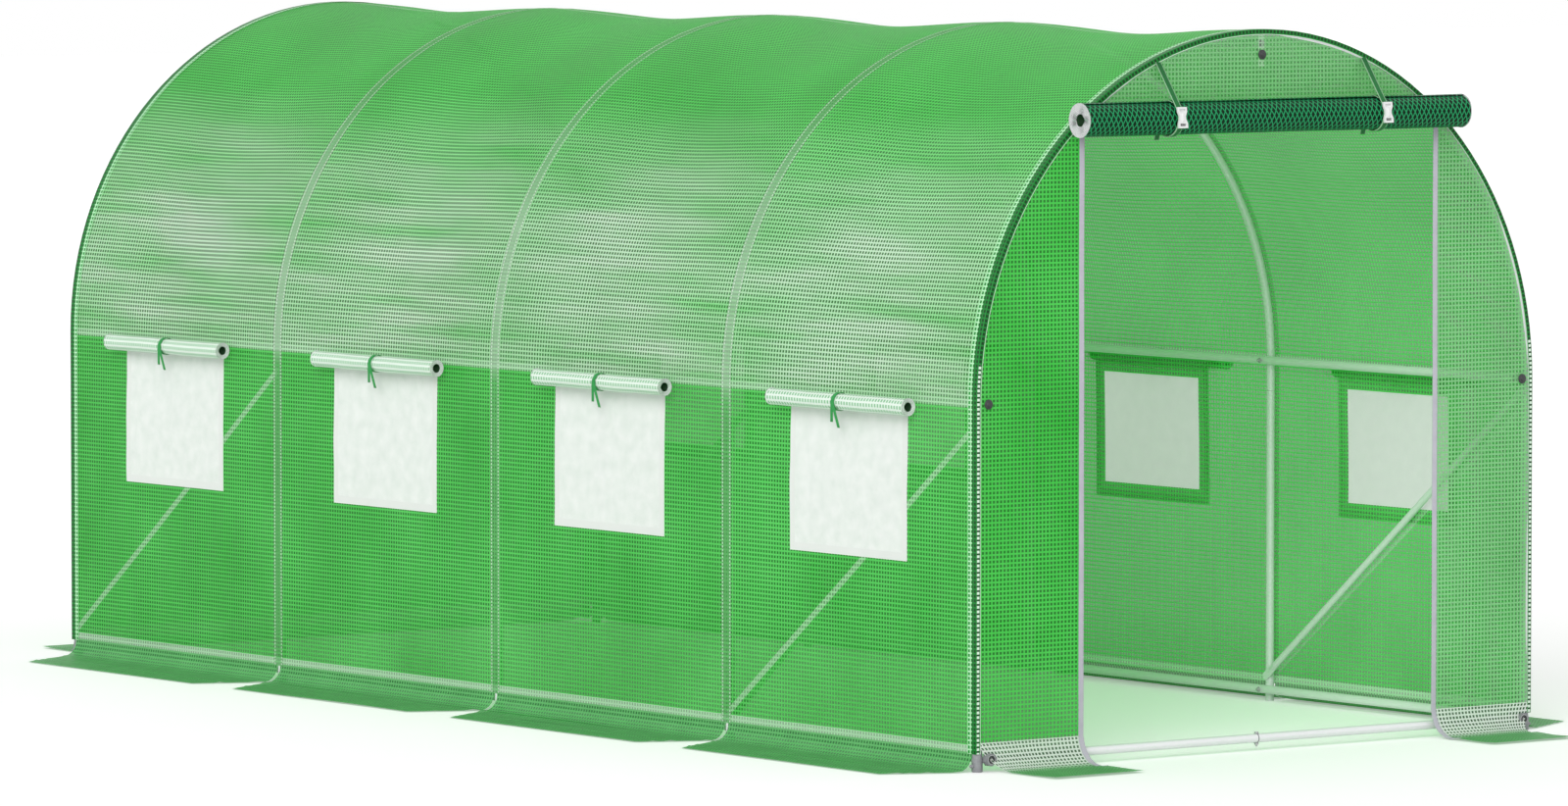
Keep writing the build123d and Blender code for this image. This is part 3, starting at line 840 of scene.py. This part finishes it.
def flap_point(side, middle, t, y):
    """A place on a rolled flap, which its ribbon pinches at its middle."""
    pinch = 1 - 0.07 * max(0.0, 1 - abs(y - middle) / 0.03)
    radius = FLAP_BORE + (FLAP_RADIUS * pinch - FLAP_BORE) * t
    sag = wave(y * 9, t * 6, middle, 0.0012)
    point = around((side * FLAP_X, 0, FLAP_Z), "y", y, 2 * pi * FLAP_TURNS * t, radius)
    return point + Vector((sag, 0, sag))


def door_point(t, x):
    """A place on the rolled door, with slight waves along its turns."""
    radius = DOOR_BORE + (ROLL_RADIUS - DOOR_BORE) * t
    sway = wave(x * 5, t * 14, 0.4, 0.0011)
    return around(DOOR_CENTRE, "x", x, 2 * pi * DOOR_TURNS * t, radius) + Vector((0, sway, sway))


for word, side in SIDES.items():
    patches = []
    for y in WINDOWS:
        ys = steps(y - FLAP_HALF, y + FLAP_HALF, 0.03)
        patches.append((roll_steps(FLAP_TURNS), ys, lambda t, y, s=side, m=y: flap_point(s, m, t, y), None))
    flaps = cloth(f"{word}_rolled_flaps", FLAP, patches, [f"{word}_window_flaps"])
    lay_pattern(flaps, lambda flat, point: (flat[0] * FLAP_LENGTH, flat[1]))

door_xs = steps(-DOOR_ROLL_HALF, DOOR_ROLL_HALF, 0.05)[::-1]
door = cloth("rolled_door", ROLLED, [(roll_steps(DOOR_TURNS), door_xs, door_point, None)], ["door_roll"])
lay_pattern(door, lambda flat, point: (flat[0] * DOOR_LENGTH, flat[1]))


def make_roll_ends(name, centre, ends, inner, outer, axis):
    """Discs at both ends of rolls, where the cut edges of the film show round a sunk bore."""
    patches = []
    for end, out in ends:
        turns = [i / 36 for i in range(37)]
        radii = [0.001, inner * 0.6, inner - 0.0002, *steps(inner, outer, 0.004)]
        if (out > 0) == (axis == "x"):
            turns = turns[::-1]

        def disc_point(turn, radius, end=end, out=out):
            share = max(0.0, (radius - inner) / (outer - inner))
            dish = 0.002 * (1 - share**2) + 0.0006 * sin(9 * pi * turn)
            if radius < inner:
                dish = 0.012 + (inner - radius) * 0.6
            return around(centre, axis, end + out * (0.0012 - dish), 2 * pi * turn, radius)

        patches.append((turns, radii, disc_point, None))
    piece = cloth(name, ROLL_END, patches)
    lay_pattern(piece, lambda flat, point: (flat[0] * 0.2, flat[1] - inner))


door_ends = [(side * DOOR_ROLL_HALF, side) for side in SIDES.values()]
make_roll_ends("door_roll_ends", DOOR_CENTRE, door_ends, DOOR_BORE, ROLL_RADIUS, "x")
for word, side in SIDES.items():
    centre = (side * FLAP_X, 0, FLAP_Z)
    flap_ends = [(y + out * FLAP_HALF, out) for y in WINDOWS for out in ENDS.values()]
    make_roll_ends(f"{word}_flap_ends", centre, flap_ends, FLAP_BORE - 0.0005, FLAP_RADIUS, "y")


# Tapes, straps and ribbons
def ribbon(name, finish, path, across, width, depth):
    """A strip along a path of points, width across and depth thick."""
    half = Vector(across) * (width / 2)
    lengths = [0.0]
    for a, b in zip(path, path[1:]):
        lengths.append(lengths[-1] + (Vector(b) - Vector(a)).length)
    places = {round(length, 6): Vector(point) for length, point in zip(lengths, path)}
    edges = [-1.0, -0.8, 0.8, 1.0]
    piece = cloth(name, finish, [(sorted(places), edges, lambda r, e: places[r] + half * e, None)])
    lay_pattern(piece, lambda flat, point: (flat[1] * width / 2, flat[0]))
    select_only(piece)
    wall = piece.modifiers.new("thickness", "SOLIDIFY")
    wall.thickness = depth
    wall.offset = 0.0
    bpy.ops.object.modifier_apply(modifier=wall.name)
    return piece


def arc(centre, radius, first, last, count):
    """Points round part of a circle in the plane of y and z, angles from the +y way."""
    turns = [first + (last - first) * i / count for i in range(count + 1)]
    return [(centre[0], centre[1] + radius * cos(t), centre[2] + radius * sin(t)) for t in turns]


TAPE_OUT = Vector((0, -LAYER, 0.0006))
tape_rows = steps(FLAP_FLAT - 0.03, door_head, 0.03, [FLAP_FLAT, FLARE_END])
tapes = []
for word, side in SIDES.items():
    path = [end_point(-1, side * (DOOR_HALF + 0.0075), v) + TAPE_OUT for v in tape_rows]
    tapes.append(ribbon(f"door_tape_{word}", TAPE, path, (1, 0, 0), width=0.017, depth=0.0016))
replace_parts(tapes[0], "door_tapes")

STRAP_RING = ROLL_RADIUS + LAYER
strap_top = SPRING + sqrt(HALF_WIDTH**2 - STRAP_X**2) - 0.012
run_y, run_z = -END - 0.001 - ROLL_Y, strap_top - ROLL_Z
touch = atan2(run_z, run_y) + acos(STRAP_RING / hypot(run_y, run_z))
straps = []
for word, side in SIDES.items():
    x = side * STRAP_X
    centre = (x, ROLL_Y, ROLL_Z)
    path = [(x, -END - 0.001, strap_top)] + arc(centre, STRAP_RING, touch, touch + 1.86 * pi, 44)
    straps.append(ribbon(f"door_strap_{word}", WEBBING, path, (1, 0, 0), width=0.02, depth=0.0014))
    tail = arc(centre, STRAP_RING + LAYER, touch + 0.1, touch + 1.12 * pi, 20)
    leaves = tail[-1]
    tail += [(x + side * 0.001, leaves[1] - 0.006 + 0.004 * i, leaves[2] - 0.016 * i) for i in (1, 2, 3)]
    ribbon(f"strap_tail_{word}", WEBBING, tail, (1, 0, 0), width=0.019, depth=0.0012)
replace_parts(straps[0], "door_straps")


# Tube, made as by hand: a circle that is extruded or spun, with a real wall at its open ends
def start_piece(name, add, **settings):
    """A primitive, made with nothing else selected."""
    bpy.ops.object.select_all(action="DESELECT")
    add(**{"location": (0, 0, 0), **settings})
    piece = bpy.context.object
    piece.name = name
    return piece


def place_piece(piece, matrix):
    """Moves a piece's mesh and leaves its object at the origin."""
    piece.data.transform(matrix)
    piece.data.update()


def copied(piece, name, matrix):
    """A copy of a piece with its own mesh, moved to its place."""
    copy = piece.copy()
    copy.data = piece.data.copy()
    copy.name = name
    bpy.context.scene.collection.objects.link(copy)
    place_piece(copy, matrix)
    return copy


def joined(name, pieces):
    """Joins pieces into one object."""
    bpy.ops.object.select_all(action="DESELECT")
    for piece in pieces:
        piece.select_set(True)
    bpy.context.view_layer.objects.active = pieces[0]
    bpy.ops.object.join()
    pieces[0].name = name
    return pieces[0]


def to_mode(mode):
    """Goes to object mode or edit mode."""
    bpy.ops.object.mode_set(mode=mode)


def face_outwards():
    """Turns every face of the piece outwards, and leaves edit mode."""
    bpy.ops.mesh.select_all(action="SELECT")
    bpy.ops.mesh.normals_make_consistent(inside=False)
    to_mode("OBJECT")


def pick_points(piece, test):
    """Selects the points of a piece that pass a test, in edit mode."""
    bpy.ops.mesh.select_mode(type="VERT")
    bpy.ops.mesh.select_all(action="DESELECT")
    to_mode("OBJECT")
    for point in piece.data.vertices:
        point.select = test(point.co)
    to_mode("EDIT")


def extrude(*way):
    """Extrudes what is selected."""
    bpy.ops.mesh.extrude_region_move(TRANSFORM_OT_translate={"value": way})


def narrow(share, height):
    """Scales what is selected towards the z axis, at one height."""
    bpy.ops.transform.resize(value=(share, share, 1), center_override=(0, 0, height))


TUBE_WALL = 0.001
BORE_DEPTH = 0.05


def straight_tube(name, start, end, radius=TUBE):
    """An open tube between two points, its wall turned in at both ends and its bore run a little way in."""
    start, end = Vector(start), Vector(end)
    length = (end - start).length
    add = bpy.ops.mesh.primitive_cylinder_add
    piece = start_piece(name, add, vertices=28, radius=radius, depth=length, end_fill_type="NOTHING")
    to_mode("EDIT")
    for way in (1, -1):
        height = way * length / 2
        pick_points(piece, lambda point: abs(point.z - height) < 1e-5)
        extrude(0, 0, 0)
        narrow((radius - TUBE_WALL) / radius, height)
        extrude(0, 0, -way * BORE_DEPTH)
    to_mode("OBJECT")
    bpy.ops.object.shade_smooth_by_angle(angle=0.7)
    turn = (end - start).to_track_quat("Z", "Y").to_matrix().to_4x4()
    place_piece(piece, Matrix.Translation((start + end) / 2) @ turn)
    return piece


BOW_START = 0.0001
BOW_ENDS = 0.09
POST_TOP = 0.9095


def bow(name, y):
    """A half circle of tube with straight ends that stand over the legs."""
    add = bpy.ops.mesh.primitive_circle_add
    piece = start_piece(name, add, vertices=24, radius=TUBE, fill_type="NOTHING", location=(BOW, 0, 0))
    bpy.ops.object.transform_apply(location=True)
    to_mode("EDIT")
    bpy.ops.mesh.select_all(action="SELECT")
    extrude(0, 0, BOW_START)
    to_mode("OBJECT")
    to_mode("EDIT")
    bpy.ops.mesh.spin(steps=72, angle=pi, center=(0, 0, BOW_START), axis=(0, 1, 0))
    for side in SIDES.values():
        pick_points(piece, lambda point: point.z < BOW_START / 2 and point.x * side > 0)
        extrude(0, 0, -BOW_ENDS)
    face_outwards()
    bpy.ops.object.shade_smooth_by_angle(angle=0.7)
    place_piece(piece, Matrix.Translation((0, y, SPRING)))
    return piece


first_bend = bow("hoop_1_bend", HOOPS[0])
feet = [side * BOW for side in SIDES.values()]
for number, y in enumerate(HOOPS, start=1):
    bend = first_bend
    if number > 1:
        bend = copied(first_bend, f"hoop_{number}_bend", Matrix.Translation((0, y - HOOPS[0], 0)))
    finish_piece(bend, STEEL, [f"hoop_{number}_bow"])
    posts = [straight_tube("post", (x, y, 0), (x, y, POST_TOP)) for x in feet]
    finish_piece(joined(f"hoop_{number}_posts", posts), STEEL, [f"hoop_{number}_legs"])

# Rails, each of four tubes that meet a little behind the hoops, and the two tubes across each end
BEHIND_HOOP = 0.045
RUN_GAP = 0.0004
BASE_OVER = 0.02
GROUND_END = 0.9458
GROUND_GAP = 0.0015
rails = {"ridge_rail": (0, RIDGE_Z, 0)}
for word, side in SIDES.items():
    rails[f"{word}_eaves_rail"] = (side * RAIL_X, SPRING, 0)
    rails[f"{word}_base_rail"] = (side * RAIL_X, BASE_Z, BASE_OVER)
for node, (x, z, over) in rails.items():
    meets = [-HALF_LENGTH - over, *[y + BEHIND_HOOP for y in HOOPS[1:-1]], HALF_LENGTH + over]
    runs = [(a + RUN_GAP, b - RUN_GAP) for a, b in zip(meets, meets[1:])]
    tubes = [straight_tube("run", (x, a, z), (x, b, z)) for a, b in runs]
    finish_piece(joined(f"{node}_tubes", tubes), STEEL, [node])
for word, out in ENDS.items():
    y = out * HOOPS[-1]
    runs = [(-GROUND_END, -GROUND_GAP), (GROUND_GAP, GROUND_END)]
    halves = [straight_tube("run", (a, y, BASE_Z), (b, y, BASE_Z)) for a, b in runs]
    finish_piece(joined(f"{word}_ground_rail", halves), STEEL, [f"{word}_base_rail"])
    # The insert is a real spigot inside the joint, made near black as painted shade in the gap between the
    # rail's halves.
    insert = straight_tube(f"{word}_shaded_rail_insert", (-0.04, y, BASE_Z), (0.04, y, BASE_Z), 0.0118)
    finish_piece(insert, DARK)

for word in SIDES:
    bpy.data.objects[f"{word}_braces"].material_slots[0].material = STEEL.material
for word in ENDS:
    bpy.data.objects[f"{word}_corner_brackets"].material_slots[0].material = FITTING.material

# Bolts through the hoops and rails
UPRIGHT = Matrix.Identity(4)
CROSSWISE = Matrix.Rotation(pi / 2, 4, "Y")
BOLT_IN = 0.004


def bolt(length):
    """A hexagon bolt along z with a washer and a nut, its middle at the origin."""
    parts = []
    for sides, radius, depth, height in (
        (6, 0.0062, 0.0045, length / 2 + 0.0022),
        (6, 0.0062, 0.005, -length / 2 - 0.0025),
        (20, 0.0078, 0.0012, length / 2),
        (20, 0.0078, 0.0012, -length / 2),
        (12, 0.003, length + 0.014, -0.003),
    ):
        add = bpy.ops.mesh.primitive_cylinder_add
        part = start_piece("part", add, vertices=sides, radius=radius, depth=depth, location=(0, 0, height))
        bpy.ops.object.transform_apply(location=True)
        soften(part, 0.0005, 1)
        parts.append(part)
    return joined("bolt", parts)


bolt_places = [((0, HOOPS[0], BASE_Z), UPRIGHT), ((0, HOOPS[-1], BASE_Z), UPRIGHT)]
for y in HOOPS:
    for side in SIDES.values():
        bolt_places.append(((side * (RAIL_X - BOLT_IN), y, SPRING), CROSSWISE))
        bolt_places.append(((side * (RAIL_X - BOLT_IN), y, BASE_Z), CROSSWISE))
    bolt_places.append(((0, y, RIDGE_Z - BOLT_IN), UPRIGHT))
pattern_bolt = bolt(0.027)
bolts = [copied(pattern_bolt, "bolt", Matrix.Translation(place) @ turn) for place, turn in bolt_places]
bpy.data.objects.remove(pattern_bolt)
finish_piece(joined("frame_bolts", bolts), BOLT_STEEL)

# Turned fittings: collars round the feet, plugs in the rail ends, and snaps on the end sheets
FOOT_OUTLINE = [(0.0132, 0.0005), (0.0152, 0.002), (0.0152, 0.03), (0.0136, 0.046), (0.0129, 0.062)]
LUG_OUTLINE = [(0.0062, 0.0), (0.0062, 0.006), (0.0036, 0.0062), (0.0036, 0.011)]
PLUG_OUTLINE = [(0.0114, -0.012), (0.0114, 0.0006), (0.0064, 0.0006), (0.0064, -0.008)]
SNAP_OUTLINE = [
    (0.0138, -0.0008),
    (0.0138, 0.0016),
    (0.0108, 0.003),
    (0.0074, 0.003),
    (0.0066, 0.0058),
    (0.004, 0.0064),
]
LUG_OUT = 0.0142
LUG_Z = 0.017


def turned(name, outline, sides=28):
    """A piece of turned work along z from its radii and heights, closed at both ends."""
    add = bpy.ops.mesh.primitive_circle_add
    piece = start_piece(name, add, vertices=sides, radius=outline[0][0], fill_type="NGON")
    to_mode("EDIT")
    bpy.ops.mesh.select_all(action="SELECT")
    for (last_radius, last_height), (radius, height) in zip(outline, outline[1:]):
        extrude(0, 0, height - last_height)
        narrow(radius / last_radius, height - outline[0][1])
    face_outwards()
    soften(piece, 0.0005, 1)
    place_piece(piece, Matrix.Translation((0, 0, outline[0][1])))
    return piece


collars, plugs, snaps = [], [], []
for out in ENDS.values():
    outward = Matrix.Rotation(-out * pi / 2, 4, "X")
    hoop_y, plug_y = out * HOOPS[-1], out * (HALF_LENGTH + BASE_OVER)
    for side in SIDES.values():
        foot = turned("foot", FOOT_OUTLINE)
        place_piece(foot, Matrix.Translation((side * BOW, hoop_y, 0)))
        sideways = Matrix.Rotation(side * pi / 2, 4, "Y")
        lug = turned("lug", LUG_OUTLINE, 6)
        place_piece(lug, Matrix.Translation((side * (BOW + LUG_OUT), hoop_y, LUG_Z)) @ sideways)
        collars += [foot, lug]
        plug = turned("plug", PLUG_OUTLINE)
        place_piece(plug, Matrix.Translation((side * RAIL_X, plug_y, BASE_Z)) @ outward)
        plugs.append(plug)
    for x, z in ((-RAIL_X, SPRING), (RAIL_X, SPRING), (0, RIDGE_Z - 0.03)):
        snap = turned("snap", SNAP_OUTLINE)
        place_piece(snap, Matrix.Translation((x, out * (END + 0.003), z)) @ outward)
        snaps.append(snap)
finish_piece(joined("corner_feet", collars), FITTING)
finish_piece(joined("rail_plugs", plugs), DARK)
finish_piece(joined("end_snaps", snaps), DARK)

# Buckles
BUCKLE_SIZE = (0.032, 0.006, 0.058)
SLOT_LOW = 0.016
SLOT_HIGH = 0.0235
SLOT_HALF = 0.011
WAIST = 0.004


def buckle(name, x):
    """A side-release buckle: a waisted frame with a slot for each end of the strap, and a tongue."""
    body = start_piece(name, bpy.ops.mesh.primitive_cube_add, size=1)
    body.data.transform(Matrix.Diagonal((*BUCKLE_SIZE, 1)))
    to_mode("EDIT")
    for height in (-SLOT_HIGH, -SLOT_LOW, -WAIST, WAIST, SLOT_LOW, SLOT_HIGH):
        bpy.ops.mesh.select_all(action="SELECT")
        bpy.ops.mesh.bisect(plane_co=(0, 0, height), plane_no=(0, 0, 1))
    for aside in (-SLOT_HALF, SLOT_HALF):
        bpy.ops.mesh.select_all(action="SELECT")
        bpy.ops.mesh.bisect(plane_co=(aside, 0, 0), plane_no=(1, 0, 0))
    bpy.ops.mesh.select_mode(type="FACE")
    bpy.ops.mesh.select_all(action="DESELECT")
    to_mode("OBJECT")
    for face in body.data.polygons:
        middle = face.center
        slot = SLOT_LOW < abs(middle.z) < SLOT_HIGH and abs(middle.x) < SLOT_HALF
        face.select = slot and abs(face.normal.y) > 0.9
    to_mode("EDIT")
    bpy.ops.mesh.bridge_edge_loops()
    to_mode("OBJECT")
    for point in body.data.vertices:
        if abs(point.co.z) < WAIST + 0.0001 and abs(point.co.x) > 0.015:
            point.co.x *= 0.68
    soften(body, 0.0011)
    tongue = start_piece("tongue", bpy.ops.mesh.primitive_cube_add, size=1)
    tongue_size = Matrix.Diagonal((0.0075, 0.003, 0.024, 1))
    tongue.data.transform(Matrix.Translation((0, -0.004, 0.001)) @ tongue_size)
    soften(tongue, 0.001)
    whole = joined(name, [body, tongue])
    tilt = Matrix.Rotation(-0.12, 4, "X")
    place_piece(whole, Matrix.Translation((x, ROLL_Y - STRAP_RING - 0.006, ROLL_Z + 0.003)) @ tilt)
    return finish_piece(whole, PLASTIC)


buckles = [buckle(f"buckle_{word}", side * STRAP_X) for word, side in SIDES.items()]
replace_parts(buckles[0], "strap_buckles")

# Ribbons tied round the rolled flaps
TIE_RADIUS = FLAP_RADIUS + 0.0008
TIE_OUT = FLAP_X + TIE_RADIUS + 0.002
for word, side in SIDES.items():
    loops = []
    for y in WINDOWS:
        turns = [pi / 2 + 2 * pi * i / 28 for i in range(29)]
        path = [around((side * FLAP_X, 0, FLAP_Z), "y", y, turn, TIE_RADIUS) for turn in turns]
        loops.append(ribbon("loop", RIBBON, path, (0, 1, 0), width=0.014, depth=0.0012))
        for lean, drop in ((-1, 0.075), (1, 0.06)):
            tail = []
            for share in steps(0.0, 1.0, 1 / 6):
                height = FLAP_Z + 0.004 - drop * share
                tail.append((side * (TIE_OUT - 0.012 * share), y + lean * 0.016 * share, height))
            loops.append(ribbon("tail", RIBBON, tail, (0, 1, 0), width=0.011, depth=0.001))
    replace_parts(joined(f"{word}_ribbons", loops), f"{word}_flap_ties")

# Camera, set to the photograph's viewing angle
PHOTO_WIDTH = 1600
PHOTO_HEIGHT = 822
FOCAL_PIXELS = 9845.0
MIDDLE_X = 806.4
MIDDLE_Y = 408.1
YAW = 0.6486
TILT = -0.0626
SENSOR = 36.0
camera_data = bpy.data.cameras.new("photo_camera")
camera = bpy.data.objects.new("photo_camera", camera_data)
bpy.context.scene.collection.objects.link(camera)
camera_data.sensor_width = SENSOR
camera_data.lens = FOCAL_PIXELS / PHOTO_WIDTH * SENSOR
camera_data.shift_x = (PHOTO_WIDTH / 2 - MIDDLE_X) / PHOTO_WIDTH
camera_data.shift_y = (MIDDLE_Y - PHOTO_HEIGHT / 2) / PHOTO_WIDTH
camera_data.clip_end = 200.0
camera.location = (-17.1537, -22.7248, 2.6477)
camera.rotation_euler = (pi / 2 + TILT, 0.0, -YAW)
bpy.context.scene.camera = camera

# Floor, background and light
floor = start_piece("studio_floor", bpy.ops.mesh.primitive_plane_add, size=120, location=(0, 0, -0.0005))
ground = Finish("pale_floor", "cover", roughness=0.9)
ground.put("Base Color", ground.blend(ground.cloud(0.4, 2.0), (0.96, 0.96, 0.96), (0.98, 0.98, 0.98)))
ground.put("Emission Color", (1.0, 1.0, 1.0))
ground.put("Emission Strength", ground.read("LightPath", "Is Camera Ray") * 0.26)
floor.data.materials.append(ground.material)

world = bpy.data.worlds.new("studio")
bpy.context.scene.world = world
world.use_nodes = True
sky = Nodes(world.node_tree)
background = sky.tree.nodes["Background"]
sky.fill(background.inputs["Color"], (1.0, 1.0, 1.0))
seen = sky.read("LightPath", "Is Camera Ray").most(sky.read("LightPath", "Is Glossy Ray"))
sky.fill(background.inputs["Strength"], 0.6 + seen * 0.4)

sun_data = bpy.data.lights.new("soft_key", "SUN")
sun_data.energy = 1.5
sun_data.angle = 0.6
sun = bpy.data.objects.new("soft_key", sun_data)
sun.rotation_euler = (1.1, 0.0, -0.9)
bpy.context.scene.collection.objects.link(sun)

bpy.context.scene.view_settings.view_transform = "Standard"
